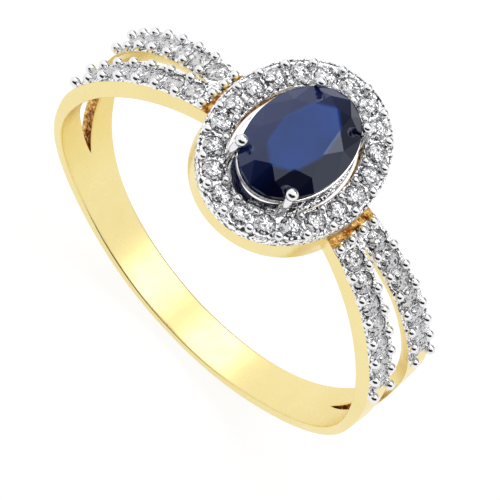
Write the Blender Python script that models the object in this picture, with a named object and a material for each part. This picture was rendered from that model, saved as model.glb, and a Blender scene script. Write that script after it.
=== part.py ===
"""Engagement ring: an oval sapphire in a four-claw basket, inside an oval pavé halo on a split pavé shank.

Run with: blender --background --python part.py

Every piece is its own closed solid. The origin is the centre of the finger bore. The bore runs along Y,
the head stands up along +Z, and the shoulders spread along +X (right) and -X (left). Angles round the
band are counted in degrees from the head, 0 at the top and 180 at the back of the finger.
"""

import math

import bmesh
import bpy
from mathutils import Vector

MM = 0.001

# Clearance between neighbouring pieces, a jeweller's setting fit rather than a running fit.
GAP = 0.02 * MM

# Finger bore: 17.2 mm across, which is ISO size 54.
BORE_RADIUS = 8.6 * MM

# Band outline: angle from the head, half width along the finger, height of the flat side face, and
# extra height of the domed middle. Heights are above the bore.
BAND_OUTLINE = (
    (16.0, 1.16 * MM, 0.88 * MM, 0.00 * MM),
    (24.0, 1.23 * MM, 0.90 * MM, 0.00 * MM),
    (42.0, 1.52 * MM, 0.92 * MM, 0.00 * MM),
    (60.0, 1.80 * MM, 0.83 * MM, 0.00 * MM),
    (78.0, 1.91 * MM, 0.69 * MM, 0.00 * MM),
    (90.0, 1.90 * MM, 0.50 * MM, 0.04 * MM),
    (105.0, 1.65 * MM, 0.44 * MM, 0.12 * MM),
    (120.0, 1.35 * MM, 0.42 * MM, 0.22 * MM),
    (135.0, 1.13 * MM, 0.40 * MM, 0.32 * MM),
    (150.0, 1.03 * MM, 0.38 * MM, 0.40 * MM),
    (180.0, 0.98 * MM, 0.34 * MM, 0.45 * MM),
)
BAND_START = 18.0
BAND_STEP = 4.0
BAND_BACK = 180.0
DOME_STATIONS = (-1.0, -0.6, -0.2, 0.2, 0.6, 1.0)

# Split in each shoulder: angle, half width of the opening at the bore, half width at the outer face.
SPLIT_OUTLINE = (
    (30.0, 0.39 * MM, 0.03 * MM),
    (40.0, 0.52 * MM, 0.20 * MM),
    (50.0, 0.70 * MM, 0.31 * MM),
    (60.0, 0.82 * MM, 0.42 * MM),
    (75.0, 0.96 * MM, 0.61 * MM),
    (88.0, 0.90 * MM, 0.70 * MM),
    (97.0, 0.66 * MM, 0.58 * MM),
    (106.0, 0.37 * MM, 0.35 * MM),
    (113.0, 0.19 * MM, 0.18 * MM),
    (120.0, 0.01 * MM, 0.01 * MM),
)
SPLIT_STEP = 3.6
SPLIT_TIP_HALF_WIDTH = 0.004 * MM

# Shoulder pavé: seven diamonds a row, one row on each strand, in a white plate let into the strand.
SHOULDER_STONES = 7
SHOULDER_FIRST_ANGLE = 30.3
SHOULDER_PITCH = 6.5
SHOULDER_PLATE_OVERHANG = 3.6
PLATE_DEPTH = 0.50 * MM
PLATE_SIDE_WALL = 0.07 * MM
PLATE_JOIN_ANGLE = 27.6
PLATE_JOIN_STEP = 0.8
PLATE_JOIN_OVERLAP = 0.04 * MM

# Small round diamonds.
MELEE_RADIUS = 0.475 * MM
MELEE_TABLE_RATIO = 0.58
MELEE_CROWN = 0.13 * MM
MELEE_PAVILION = 0.41 * MM
MELEE_SIDES = 16
SEAT_SIDES = 10
SEAT_EXIT_RADIUS = 0.13 * MM
TABLE_ABOVE_METAL = 0.13 * MM

# Halo: the line through the diamonds' centres, and heights above the bore's axis.
HALO_STONES = 20
HALO_HALF_LENGTH_X = 3.06 * MM
HALO_HALF_LENGTH_Y = 3.87 * MM
HALO_OUTER_MARGIN = 0.68 * MM
HALO_INNER_MARGIN = 0.48 * MM
HALO_TOP = 9.93 * MM
HALO_RIM_TOP = 9.70 * MM
HALO_FLAT_MARGIN = 0.42 * MM
HALO_UNDERSIDE = 9.47 * MM
OVAL_SEGMENTS = 64

# Yellow oval wall under the halo, with a ledge that the white plate rests on.
GALLERY_WALL = 0.45 * MM
GALLERY_LEDGE_THICKNESS = 0.22 * MM
GALLERY_LEDGE_REVEAL = 0.16 * MM
GALLERY_RIM_SETBACK = 0.03 * MM

# Centre sapphire, 6 mm by 4.2 mm.
SAPPHIRE_HALF_X = 2.12 * MM
SAPPHIRE_HALF_Y = 3.00 * MM
SAPPHIRE_TABLE_RATIO = 0.57
SAPPHIRE_CROWN = 0.58 * MM
SAPPHIRE_GIRDLE = 0.06 * MM
SAPPHIRE_PAVILION = 1.81 * MM
SAPPHIRE_GIRDLE_HEIGHT = 10.70 * MM
SAPPHIRE_SIDES = 32

# Basket: two oval rails and four claws with ball tips.
RAIL_SEGMENTS = 48
UPPER_RAIL_OUTSET = 0.06 * MM
UPPER_RAIL_WIDTH = 0.18 * MM
UPPER_RAIL_SPAN = (10.30 * MM, 10.50 * MM)
LOWER_RAIL_OUTSET = 0.10 * MM
LOWER_RAIL_WIDTH = 0.36 * MM
LOWER_RAIL_SPAN = (9.15 * MM, 9.42 * MM)
CLAW_RADIUS = 0.19 * MM
CLAW_SIDES = 10
CLAW_ROUTE = (
    (1.50 * MM, 2.42 * MM, 8.98 * MM),
    (1.54 * MM, 2.54 * MM, 9.70 * MM),
    (1.545 * MM, 2.46 * MM, 10.35 * MM),
    (1.535 * MM, 2.41 * MM, 10.72 * MM),
    (1.44 * MM, 2.27 * MM, 11.05 * MM),
)
CLAW_BALL_RADIUS = 0.29 * MM
CLAW_BALL_CENTRE = (1.44 * MM, 2.27 * MM, 11.13 * MM)
CLAW_BALL_SEGMENTS = 10
CLAW_BALL_RINGS = 7

SMOOTH_ANGLE = math.radians(32.0)

# How far the construction solids reach past the pieces they cut.
CUT_PAST = 0.3 * MM
THROUGH_BAND = 1.3 * MM
COLUMN_SPAN = (5.0 * MM, 12.0 * MM)

# Points tried along an oval when even spacing is measured on it.
FINE_OVAL_POINTS = 3600


def clear_scene():
    for old in list(bpy.data.objects):
        bpy.data.objects.remove(old, do_unlink=True)


def make_material(name, colour, metallic, roughness, transmission=0.0, ior=1.5):
    material = bpy.data.materials.new(name)
    material.use_nodes = True
    shader = material.node_tree.nodes["Principled BSDF"]
    shader.inputs["Base Color"].default_value = (*colour, 1.0)
    shader.inputs["Metallic"].default_value = metallic
    shader.inputs["Roughness"].default_value = roughness
    shader.inputs["Transmission Weight"].default_value = transmission
    shader.inputs["IOR"].default_value = ior
    return material


def yellow_gold(name):
    return make_material(name, (0.86, 0.62, 0.25), 1.0, 0.12)


def white_gold(name):
    return make_material(name, (0.80, 0.79, 0.77), 1.0, 0.14)


def diamond(name):
    return make_material(name, (0.98, 0.98, 1.0), 0.0, 0.0, 1.0, 2.417)


def sapphire(name):
    return make_material(name, (0.03, 0.07, 0.33), 0.0, 0.0, 0.6, 1.77)


def make_object(name, bm, material=None):
    """Turn a closed bmesh into a named object with outward faces."""
    bmesh.ops.recalc_face_normals(bm, faces=bm.faces[:])
    mesh = bpy.data.meshes.new(name)
    bm.to_mesh(mesh)
    bm.free()
    if material:
        mesh.materials.append(material)
    mesh.shade_smooth()
    mesh.set_sharp_from_angle(angle=SMOOTH_ANGLE)
    made = bpy.data.objects.new(name, mesh)
    bpy.context.scene.collection.objects.link(made)
    return made


def make_cutter(name, bm):
    """A construction solid that only shapes other pieces."""
    cutter = make_object(name, bm)
    cutter.hide_render = True
    cutter.display_type = "WIRE"
    return cutter


def combine(target, other, operation, overlapping=False):
    modifier = target.modifiers.new(f"{operation.lower()}_{other.name}", "BOOLEAN")
    modifier.operation = operation
    modifier.solver = "EXACT"
    modifier.object = other
    modifier.use_self = overlapping


def interpolate(outline, angle, column):
    """Read one column of an outline table with a smooth Catmull-Rom curve through its stations."""
    if angle <= outline[0][0]:
        return outline[0][column]
    if angle >= outline[-1][0]:
        return outline[-1][column]
    after = next(i for i, row in enumerate(outline) if row[0] > angle)
    low, high = outline[after - 1], outline[after]
    before_low = outline[max(after - 2, 0)]
    past_high = outline[min(after + 1, len(outline) - 1)]
    span = high[0] - low[0]
    u = (angle - low[0]) / span
    slope_low = (high[column] - before_low[column]) / (high[0] - before_low[0]) * span
    slope_high = (past_high[column] - low[column]) / (past_high[0] - low[0]) * span
    return (
        (2 * u**3 - 3 * u**2 + 1) * low[column]
        + (u**3 - 2 * u**2 + u) * slope_low
        + (3 * u**2 - 2 * u**3) * high[column]
        + (u**3 - u**2) * slope_high
    )


def angle_range(start, end, step):
    """Evenly spaced angles from start to end, no further apart than step."""
    count = max(1, math.ceil((end - start) / step))
    return [start + (end - start) * i / count for i in range(count + 1)]


def on_band(angle, y, radius, side=1):
    """A point at an angle round the band, a distance along the finger and a radius from its axis."""
    turn = math.radians(angle)
    return Vector((side * radius * math.sin(turn), y, radius * math.cos(turn)))


def loft(bm, rings, closed):
    """Skin a run of equal rings. An open run gets a flat cap at each end."""
    loops = [[bm.verts.new(point) for point in ring] for ring in rings]
    size = len(loops[0])
    pairs = list(zip(loops, loops[1:]))
    if closed:
        pairs.append((loops[-1], loops[0]))
    for here, there in pairs:
        for i in range(size):
            j = (i + 1) % size
            bm.faces.new((here[i], here[j], there[j], there[i]))
    if not closed:
        bm.faces.new(loops[0])
        bm.faces.new(loops[-1][::-1])


def oval_points(half_x, half_y, count):
    """Points on an oval, each as (x, y)."""
    turns = [2 * math.pi * i / count for i in range(count)]
    return [(half_x * math.cos(t), half_y * math.sin(t)) for t in turns]


def equal_arc_points(half_x, half_y, count):
    """Points spaced evenly along an oval, half a step off its ends, each as (x, y)."""
    fine = oval_points(half_x, half_y, FINE_OVAL_POINTS)
    lengths = [0.0]
    for (x0, y0), (x1, y1) in zip(fine, fine[1:] + fine[:1]):
        lengths.append(lengths[-1] + math.hypot(x1 - x0, y1 - y0))
    points = []
    for i in range(count):
        wanted = lengths[-1] * (i + 0.5) / count
        nearest = min(range(len(fine)), key=lambda k: abs(lengths[k] - wanted))
        points.append(fine[nearest])
    return points


def oval_band(bm, profile, count):
    """A closed oval ring. The profile lists (half_x, half_y, height) round its cross-section."""
    rings = []
    for i in range(count):
        turn = 2 * math.pi * i / count
        rings.append([(hx * math.cos(turn), hy * math.sin(turn), z) for hx, hy, z in profile])
    loft(bm, rings, closed=True)


# Shank


def band_section(angle, side=1):
    half_width = interpolate(BAND_OUTLINE, angle, 1)
    edge = BORE_RADIUS + interpolate(BAND_OUTLINE, angle, 2)
    dome = interpolate(BAND_OUTLINE, angle, 3)
    section = [on_band(angle, half_width, BORE_RADIUS, side), on_band(angle, -half_width, BORE_RADIUS, side)]
    for station in DOME_STATIONS:
        section.append(on_band(angle, station * half_width, edge + dome * (1 - station**2), side))
    return section


def split_half_width(angle, radius):
    """Half width of the shoulder's split, which narrows from the bore to the outer face."""
    inner = interpolate(SPLIT_OUTLINE, angle, 1)
    outer = interpolate(SPLIT_OUTLINE, angle, 2)
    height = interpolate(BAND_OUTLINE, angle, 2)
    return inner + (outer - inner) * (radius - BORE_RADIUS) / height


def add_split(bm, side):
    low = BORE_RADIUS - CUT_PAST
    high = BORE_RADIUS + THROUGH_BAND
    rings = []
    for angle in angle_range(SPLIT_OUTLINE[0][0], SPLIT_OUTLINE[-1][0], SPLIT_STEP):
        wide = max(split_half_width(angle, low), SPLIT_TIP_HALF_WIDTH)
        narrow = max(split_half_width(angle, high), SPLIT_TIP_HALF_WIDTH)
        rings.append(
            [
                on_band(angle, -wide, low, side),
                on_band(angle, wide, low, side),
                on_band(angle, narrow, high, side),
                on_band(angle, -narrow, high, side),
            ]
        )
    loft(bm, rings, closed=False)


def side_name(side):
    return "right" if side > 0 else "left"


def row_name(row):
    return "front" if row < 0 else "rear"


def plate_edges(angle, depth=0.0):
    """Inner and outer edge of a shoulder plate at a depth, as distances from the ring's middle plane.

    The inner edge runs beside the split's slanted wall. Towards the head it crosses the middle plane,
    so that the two strands' plates meet in a V.
    """
    face = BORE_RADIUS + interpolate(BAND_OUTLINE, angle, 2)
    split_start = SPLIT_OUTLINE[0][0]
    inner = split_half_width(max(angle, split_start), face - depth) + PLATE_SIDE_WALL
    if angle < split_start:
        ease = min((split_start - angle) / (split_start - PLATE_JOIN_ANGLE), 1.0)
        inner -= (inner + PLATE_JOIN_OVERLAP) * ease
    outer = interpolate(BAND_OUTLINE, angle, 1) - PLATE_SIDE_WALL
    return inner, outer


def plate_angles(grow):
    """Stations along a shoulder plate, from the head down. A clearance only moves the two ends."""
    last_stone = SHOULDER_FIRST_ANGLE + SHOULDER_PITCH * (SHOULDER_STONES - 1)
    grow_angle = math.degrees(grow / BORE_RADIUS)
    start = SHOULDER_FIRST_ANGLE - SHOULDER_PLATE_OVERHANG
    end = last_stone + SHOULDER_PLATE_OVERHANG
    in_the_join = angle_range(PLATE_JOIN_ANGLE, SPLIT_OUTLINE[0][0], PLATE_JOIN_STEP)
    beside_split = angle_range(SPLIT_OUTLINE[0][0], end, BAND_STEP)
    return [start - grow_angle, *in_the_join[:-1], *beside_split[:-1], end + grow_angle]


def shoulder_strip(bm, side, row, floor, top_above_face, grow):
    """One strand's plate, or its pocket when grown by a clearance."""
    rings = []
    for angle in plate_angles(grow):
        face = BORE_RADIUS + interpolate(BAND_OUTLINE, angle, 2)
        floor_inner, outer = plate_edges(angle, floor + grow)
        top_inner, _ = plate_edges(angle, -top_above_face)
        rings.append(
            [
                on_band(angle, row * (floor_inner - grow), face - floor - grow, side),
                on_band(angle, row * (outer + grow), face - floor - grow, side),
                on_band(angle, row * (outer + grow), face + top_above_face, side),
                on_band(angle, row * (top_inner - grow), face + top_above_face, side),
            ]
        )
    loft(bm, rings, closed=False)


def add_head_column(bm):
    """The oval column that the gallery stands in, which ends the shank's arms."""
    half_x = HALO_HALF_LENGTH_X + HALO_OUTER_MARGIN - GALLERY_RIM_SETBACK + GAP
    half_y = HALO_HALF_LENGTH_Y + HALO_OUTER_MARGIN - GALLERY_RIM_SETBACK + GAP
    outline = oval_points(half_x, half_y, OVAL_SEGMENTS)
    loft(bm, [[(x, y, height) for x, y in outline] for height in COLUMN_SPAN], closed=False)


def shank_cutter():
    """Everything that is cut out of the band: the splits, the plates' pockets and the head's column."""
    bm = bmesh.new()
    add_head_column(bm)
    for side in (-1, 1):
        add_split(bm, side)
        for row in (-1, 1):
            shoulder_strip(bm, side, row, PLATE_DEPTH, CUT_PAST, GAP)
    return make_cutter("shank_cutter", bm)


def make_shank():
    bm = bmesh.new()
    angles = angle_range(BAND_START, BAND_BACK, BAND_STEP)
    down_right = [band_section(angle) for angle in angles]
    up_left = [band_section(angle, -1) for angle in reversed(angles)]
    loft(bm, down_right + up_left[1:], closed=False)
    shank = make_object("shank", bm, yellow_gold("shank_gold"))
    combine(shank, shank_cutter(), "DIFFERENCE", overlapping=True)
    return shank


# Stones and their seats


def brilliant(name, radius_x, radius_y, table_ratio, crown, girdle, pavilion, sides, material):
    """A faceted stone with its girdle's lower edge at z = 0 and its point down."""
    bm = bmesh.new()
    table = [
        bm.verts.new((table_ratio * x, table_ratio * y, girdle + crown))
        for x, y in oval_points(radius_x, radius_y, sides // 2)
    ]
    upper = [bm.verts.new((x, y, girdle)) for x, y in oval_points(radius_x, radius_y, sides)]
    lower = upper
    if girdle > 0:
        lower = [bm.verts.new((v.co.x, v.co.y, 0.0)) for v in upper]
        for i in range(sides):
            j = (i + 1) % sides
            bm.faces.new((lower[i], lower[j], upper[j], upper[i]))
    culet = bm.verts.new((0.0, 0.0, -pavilion))
    bm.faces.new(table)
    for i in range(sides // 2):
        here, there = table[i], table[(i + 1) % (sides // 2)]
        edge = upper[2 * i]
        middle = upper[2 * i + 1]
        past = upper[(2 * i + 2) % sides]
        bm.faces.new((here, edge, middle))
        bm.faces.new((here, middle, there))
        bm.faces.new((there, middle, past))
    for i in range(sides):
        bm.faces.new((lower[(i + 1) % sides], lower[i], culet))
    return make_object(name, bm, material)


def small_diamond(name, place, upward):
    """A round diamond with the middle of its girdle at place, looking along upward."""
    made = brilliant(
        name, MELEE_RADIUS, MELEE_RADIUS, MELEE_TABLE_RATIO, MELEE_CROWN, 0.0, MELEE_PAVILION,
        MELEE_SIDES, diamond(f"{name}_gem"),
    )
    turn = upward.to_track_quat("Z", "Y")
    made.data.transform(turn.to_matrix().to_4x4())
    made.location = place
    return made


def add_seat(bm, place, upward):
    """A drilled seat: a straight mouth, a cone under the girdle and a narrow way out below."""
    turn = upward.to_track_quat("Z", "Y")
    mouth = (MELEE_RADIUS + GAP) / math.cos(math.pi / SEAT_SIDES)
    profile = (
        (mouth, CUT_PAST),
        (mouth, -GAP),
        (SEAT_EXIT_RADIUS, -MELEE_PAVILION),
        (SEAT_EXIT_RADIUS, -MELEE_PAVILION - CUT_PAST),
    )
    rings = []
    for radius, height in profile:
        ring = [Vector((x, y, height)) for x, y in oval_points(radius, radius, SEAT_SIDES)]
        rings.append([place + turn @ point for point in ring])
    loft(bm, rings, closed=False)


def halo_places():
    """Girdle centre and outward direction of each halo diamond."""
    height = HALO_TOP + TABLE_ABOVE_METAL - MELEE_CROWN
    points = equal_arc_points(HALO_HALF_LENGTH_X, HALO_HALF_LENGTH_Y, HALO_STONES)
    return [(Vector((x, y, height)), Vector((0, 0, 1))) for x, y in points]


def shoulder_places(side, row):
    """Girdle centre and outward direction of each diamond on one strand."""
    places = []
    for i in range(SHOULDER_STONES):
        angle = SHOULDER_FIRST_ANGLE + SHOULDER_PITCH * i
        face = BORE_RADIUS + interpolate(BAND_OUTLINE, angle, 2)
        inner, outer = plate_edges(angle)
        place = on_band(angle, row * (inner + outer) / 2, face + TABLE_ABOVE_METAL - MELEE_CROWN, side)
        places.append((place, on_band(angle, 0, 1, side)))
    return places


def seat_cutter(name, places):
    bm = bmesh.new()
    for place, upward in places:
        add_seat(bm, place, upward)
    return make_cutter(name, bm)


# Head


def make_halo_gallery(claw_notches):
    """Oval wall, open below, whose foot follows the finger bore, with a ledge inside its top."""
    bm = bmesh.new()
    outer_x = HALO_HALF_LENGTH_X + HALO_OUTER_MARGIN - GALLERY_RIM_SETBACK
    outer_y = HALO_HALF_LENGTH_Y + HALO_OUTER_MARGIN - GALLERY_RIM_SETBACK
    ledge_x = HALO_HALF_LENGTH_X - HALO_INNER_MARGIN - GALLERY_LEDGE_REVEAL
    ledge_y = HALO_HALF_LENGTH_Y - HALO_INNER_MARGIN - GALLERY_LEDGE_REVEAL
    top = HALO_UNDERSIDE - GAP
    under_ledge = top - GALLERY_LEDGE_THICKNESS
    rings = []
    for i in range(OVAL_SEGMENTS):
        turn = 2 * math.pi * i / OVAL_SEGMENTS
        across, along = math.cos(turn), math.sin(turn)
        wall_x = (outer_x - GALLERY_WALL) * across
        wall_y = (outer_y - GALLERY_WALL) * along
        outer_foot = math.sqrt(BORE_RADIUS**2 - (outer_x * across) ** 2)
        inner_foot = math.sqrt(BORE_RADIUS**2 - wall_x**2)
        rings.append(
            [
                (outer_x * across, outer_y * along, outer_foot),
                (outer_x * across, outer_y * along, top),
                (ledge_x * across, ledge_y * along, top),
                (ledge_x * across, ledge_y * along, under_ledge),
                (wall_x, wall_y, under_ledge),
                (wall_x, wall_y, inner_foot),
            ]
        )
    loft(bm, rings, closed=True)
    gallery = make_object("halo_gallery", bm, yellow_gold("gallery_gold"))
    combine(gallery, claw_notches, "DIFFERENCE")
    return gallery


def make_halo_plate(seats, claw_notches):
    bm = bmesh.new()

    def level(margin, height):
        return (HALO_HALF_LENGTH_X + margin, HALO_HALF_LENGTH_Y + margin, height)

    profile = [
        level(-HALO_INNER_MARGIN, HALO_UNDERSIDE),
        level(HALO_OUTER_MARGIN, HALO_UNDERSIDE),
        level(HALO_OUTER_MARGIN, HALO_RIM_TOP),
        level(HALO_FLAT_MARGIN, HALO_TOP),
        level(-HALO_INNER_MARGIN, HALO_TOP),
    ]
    oval_band(bm, profile, OVAL_SEGMENTS)
    plate = make_object("halo_pave_plate", bm, white_gold("halo_white_gold"))
    combine(plate, seats, "DIFFERENCE")
    combine(plate, claw_notches, "DIFFERENCE")
    return plate


def claw_corners():
    """The signs of x and y at the four claws."""
    return [(sx, sy) for sx in (-1, 1) for sy in (-1, 1)]


def add_claw_stem(bm, sign_x, sign_y, radius, route):
    """A round wire along the route, mirrored to one corner of the head."""
    points = [Vector((sign_x * x, sign_y * y, z)) for x, y, z in route]
    rings = []
    for point in points:
        ring = [(point.x + x, point.y + y, point.z) for x, y in oval_points(radius, radius, CLAW_SIDES)]
        rings.append(ring)
    loft(bm, rings, closed=False)


def claw_notch_cutter():
    """Clearance for the claws' stems where they pass the plate and the gallery's ledge."""
    bm = bmesh.new()
    for sign_x, sign_y in claw_corners():
        add_claw_stem(bm, sign_x, sign_y, CLAW_RADIUS + 2 * GAP, CLAW_ROUTE[:4])
    return make_cutter("claw_notch_cutter", bm)


def make_basket():
    bm = bmesh.new()
    for outset, width, (low, high) in (
        (UPPER_RAIL_OUTSET, UPPER_RAIL_WIDTH, UPPER_RAIL_SPAN),
        (LOWER_RAIL_OUTSET, LOWER_RAIL_WIDTH, LOWER_RAIL_SPAN),
    ):
        outer = (SAPPHIRE_HALF_X + outset, SAPPHIRE_HALF_Y + outset)
        inner = (outer[0] - width, outer[1] - width)
        oval_band(bm, [(*outer, low), (*outer, high), (*inner, high), (*inner, low)], RAIL_SEGMENTS)
    basket = make_object("centre_basket", bm, white_gold("basket_white_gold"))

    stems = bmesh.new()
    for sign_x, sign_y in claw_corners():
        add_claw_stem(stems, sign_x, sign_y, CLAW_RADIUS, CLAW_ROUTE)
    combine(basket, make_cutter("claw_stems", stems), "UNION")

    balls = bmesh.new()
    for sign_x, sign_y in claw_corners():
        x, y, z = CLAW_BALL_CENTRE
        added = bmesh.ops.create_uvsphere(
            balls, u_segments=CLAW_BALL_SEGMENTS, v_segments=CLAW_BALL_RINGS, radius=CLAW_BALL_RADIUS
        )
        bmesh.ops.translate(balls, verts=added["verts"], vec=(sign_x * x, sign_y * y, z))
    combine(basket, make_cutter("claw_balls", balls), "UNION")
    return basket


def make_sapphire():
    stone = brilliant(
        "centre_sapphire", SAPPHIRE_HALF_X, SAPPHIRE_HALF_Y, SAPPHIRE_TABLE_RATIO, SAPPHIRE_CROWN,
        SAPPHIRE_GIRDLE, SAPPHIRE_PAVILION, SAPPHIRE_SIDES, sapphire("sapphire_gem"),
    )
    stone.location = (0, 0, SAPPHIRE_GIRDLE_HEIGHT)
    return stone


# Shoulders


def make_shoulder_plate(side):
    """Both strands' plates on one shoulder, joined in a V at the head."""
    where = side_name(side)
    front = bmesh.new()
    shoulder_strip(front, side, -1, PLATE_DEPTH, 0.0, 0.0)
    plate = make_object(f"shoulder_pave_{where}", front, white_gold(f"shoulder_white_gold_{where}"))
    rear = bmesh.new()
    shoulder_strip(rear, side, 1, PLATE_DEPTH, 0.0, 0.0)
    combine(plate, make_cutter(f"rear_strip_{where}", rear), "UNION")
    for row in (-1, 1):
        seats = seat_cutter(f"seats_{where}_{row_name(row)}", shoulder_places(side, row))
        combine(plate, seats, "DIFFERENCE")
    return plate


def make_diamonds():
    for i, (place, upward) in enumerate(halo_places(), 1):
        small_diamond(f"halo_diamond_{i:02d}", place, upward)
    for side in (-1, 1):
        for row in (-1, 1):
            for i, (place, upward) in enumerate(shoulder_places(side, row), 1):
                small_diamond(f"{side_name(side)}_{row_name(row)}_diamond_{i}", place, upward)


def main():
    clear_scene()
    make_shank()
    notches = claw_notch_cutter()
    make_halo_gallery(notches)
    make_halo_plate(seat_cutter("halo_seats", halo_places()), notches)
    make_basket()
    make_sapphire()
    for side in (-1, 1):
        make_shoulder_plate(side)
    make_diamonds()


main()
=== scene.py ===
"""Looks of the engagement ring: polished two-tone gold, grain-set diamonds and a faceted oval sapphire.

The origin is the centre of the finger bore, Y runs along the finger and +Z points up through the head.
Shapes are worked out in millimetres, and to_mesh turns them into metres. Angles round the band are in
degrees from the head, 0 at the top and 180 at the back.
"""

import math
import random

import bmesh
import bpy
from mathutils import Matrix, Vector


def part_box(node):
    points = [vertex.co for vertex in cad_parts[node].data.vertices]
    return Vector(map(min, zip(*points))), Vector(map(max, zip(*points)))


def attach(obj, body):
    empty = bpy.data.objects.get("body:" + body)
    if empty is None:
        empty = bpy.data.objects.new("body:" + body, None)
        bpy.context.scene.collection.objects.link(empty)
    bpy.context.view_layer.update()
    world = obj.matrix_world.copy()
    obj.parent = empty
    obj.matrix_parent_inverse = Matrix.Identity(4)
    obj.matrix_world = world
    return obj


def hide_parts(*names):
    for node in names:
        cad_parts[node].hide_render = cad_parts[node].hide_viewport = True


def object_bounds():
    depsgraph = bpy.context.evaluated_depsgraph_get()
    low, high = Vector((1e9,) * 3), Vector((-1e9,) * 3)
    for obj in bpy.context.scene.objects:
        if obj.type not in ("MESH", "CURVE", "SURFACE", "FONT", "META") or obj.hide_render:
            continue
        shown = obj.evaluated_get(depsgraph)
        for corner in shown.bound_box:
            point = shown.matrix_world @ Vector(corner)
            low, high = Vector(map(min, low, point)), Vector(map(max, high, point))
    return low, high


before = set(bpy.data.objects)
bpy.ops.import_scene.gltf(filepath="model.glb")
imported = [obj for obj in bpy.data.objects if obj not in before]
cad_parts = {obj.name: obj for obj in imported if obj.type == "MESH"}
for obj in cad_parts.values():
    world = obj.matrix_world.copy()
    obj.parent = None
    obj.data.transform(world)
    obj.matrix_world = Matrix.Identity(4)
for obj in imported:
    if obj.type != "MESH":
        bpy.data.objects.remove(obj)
cad_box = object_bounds()

MM = 0.001
BODY = "root"
UP = Vector((0, 0, 1))
SIDES = (("right", 1), ("left", -1))
ROWS = (("front", -1), ("rear", 1))

# Band outline: angle from the head, half width, height of the side face above the bore, height of the dome.
BAND_OUTLINE = (
    (16.0, 1.16, 0.88, 0.00),
    (24.0, 1.23, 0.90, 0.00),
    (42.0, 1.52, 0.92, 0.00),
    (60.0, 1.80, 0.83, 0.00),
    (78.0, 1.91, 0.69, 0.00),
    (90.0, 1.90, 0.50, 0.04),
    (105.0, 1.65, 0.44, 0.12),
    (120.0, 1.35, 0.42, 0.22),
    (135.0, 1.13, 0.40, 0.32),
    (150.0, 1.03, 0.38, 0.40),
    (180.0, 0.98, 0.34, 0.45),
)
# Split in each shoulder: angle, half width at the bore, half width at the outer face.
SPLIT_OUTLINE = (
    (30.0, 0.39, 0.03),
    (40.0, 0.52, 0.20),
    (50.0, 0.70, 0.31),
    (60.0, 0.82, 0.42),
    (75.0, 0.96, 0.61),
    (88.0, 0.90, 0.70),
    (97.0, 0.66, 0.58),
    (106.0, 0.37, 0.35),
    (113.0, 0.19, 0.18),
    (120.0, 0.01, 0.01),
)
SPLIT_START = SPLIT_OUTLINE[0][0]
SPLIT_END = SPLIT_OUTLINE[-1][0]

# Band's corners and stations.
BORE_EDGE_RADIUS = 0.09
FACE_EDGE_RADIUS = 0.035
SPLIT_BORE_RADIUS = 0.06
SPLIT_FACE_RADIUS = 0.04
BORE_CUTS = 5
FACE_CUTS = 10
STATION_STEP = 1.25
JOIN_STEP = 0.8
END_WALL = 0.02
HEAD_ANGLE = 24.0
HEAD_STATIONS = 4
HEAD_WALL_INSET = 0.22
# By the head the band's top above this height, and each split's tip past this angle, take the rough gold
# whose darkened colour is painted shade.
SHADED_TOP_HEIGHT = 0.81
SHADED_TIP_ANGLE = 98.0

# Pockets and the white strips that fill them.
PLATE_JOIN_ANGLE = 27.6
PLATE_SIDE_WALL = 0.07
POCKET_DEPTH = 0.35
STRIP_DEPTH = 0.33
STRIP_START_ANGLE = 24.6
STRIP_END_GAP_ANGLE = 0.1
STRIP_INSET = 0.015
STRIP_EDGE_GAP = 0.004
STRIP_LIP = 0.045
STRIP_LIP_WIDTH = 0.12
STRIP_FLAT = 0.02

# Small stones and their drilled seats.
CROWN_HEIGHT = 0.13
GIRDLE_HEIGHT = 0.012
PAVILION_DEPTH = 0.398
MELEE_TABLE = 0.55
STONE_TILT = 0.05
STONE_SEED = 5
SPIN_STEP = 2.399
SEAT_CLEARANCE = 0.012
SEAT_BEVEL = 0.03
SEAT_HOLE_RADIUS = 0.16
SEAT_SIDES = 32

# Grains: little metal pillars with round tops that hold the stones.
GRAIN_SEGMENTS = 14
GRAIN_DOME_STEPS = 5
GRAIN_SUNK = 0.12
END_GRAIN_ANGLE = 25.7
END_GRAIN_OFFSETS = (-0.98, -0.33, 0.33, 0.98)
ROW_GRAIN_OFFSET = 0.46
ROW_GRAIN_FOOT = 0.16
ROW_GRAIN_LEAN = 0.08

# Halo: distances from the line of its stones.
HALO_ROW_INSET = 0.68
HALO_FACE_DROP = 0.05
OUTER_GRAIN_OFFSET = 0.46
INNER_GRAIN_OFFSET = 0.35
CLAW_CLEARANCE = 0.95

# Gallery.
GALLERY_WALL = 0.45
GALLERY_LEDGE_WIDTH = 1.29
GALLERY_LEDGE_HEIGHT = 0.22
GALLERY_POLISHED_RIM = 0.2

# Centre stone: shares of the table in x and y, and heights.
SAPPHIRE_TABLE = (0.50, 0.64)
SAPPHIRE_CROWN = 0.64
SAPPHIRE_GIRDLE = 0.06

# Basket rails, upper and lower: outset from the centre stone's girdle, width, foot and top.
BASKET_RAILS = ((0.06, 0.18, 10.30, 10.50), (0.17, 0.52, 9.15, 9.42))
RAIL_EDGE_RADIUS = 0.05
# Where the painted shade on the lower rail begins.
RAIL_SHADE_FROM_X = 0.3

# Claws: route of the right rear one, and how far the setter bent each over, keyed by its corner's signs.
CLAW_ROUTE = (
    (1.50, 2.42, 8.98),
    (1.54, 2.54, 9.70),
    (1.545, 2.46, 10.35),
    (1.535, 2.41, 10.72),
    (1.44, 2.27, 11.05),
)
CLAW_BENDS = {(1, -1): (0.03, 0.12), (-1, -1): (-0.10, 0.16), (-1, 1): (0.16, 0.08), (1, 1): (-0.06, 0.16)}
CLAW_RADIUS = 0.19
CLAW_STEPS = 5
CLAW_SEGMENTS = 20
CLAW_BALL_CENTRE = Vector((1.44, 2.27, 11.13))
# Ball radius, keyed by the sign of y. The rear balls were filed down.
CLAW_BALL_RADII = {-1: 0.29, 1: 0.23}

OVAL_STEPS = 144
SHARP = math.radians(33.0)


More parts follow.
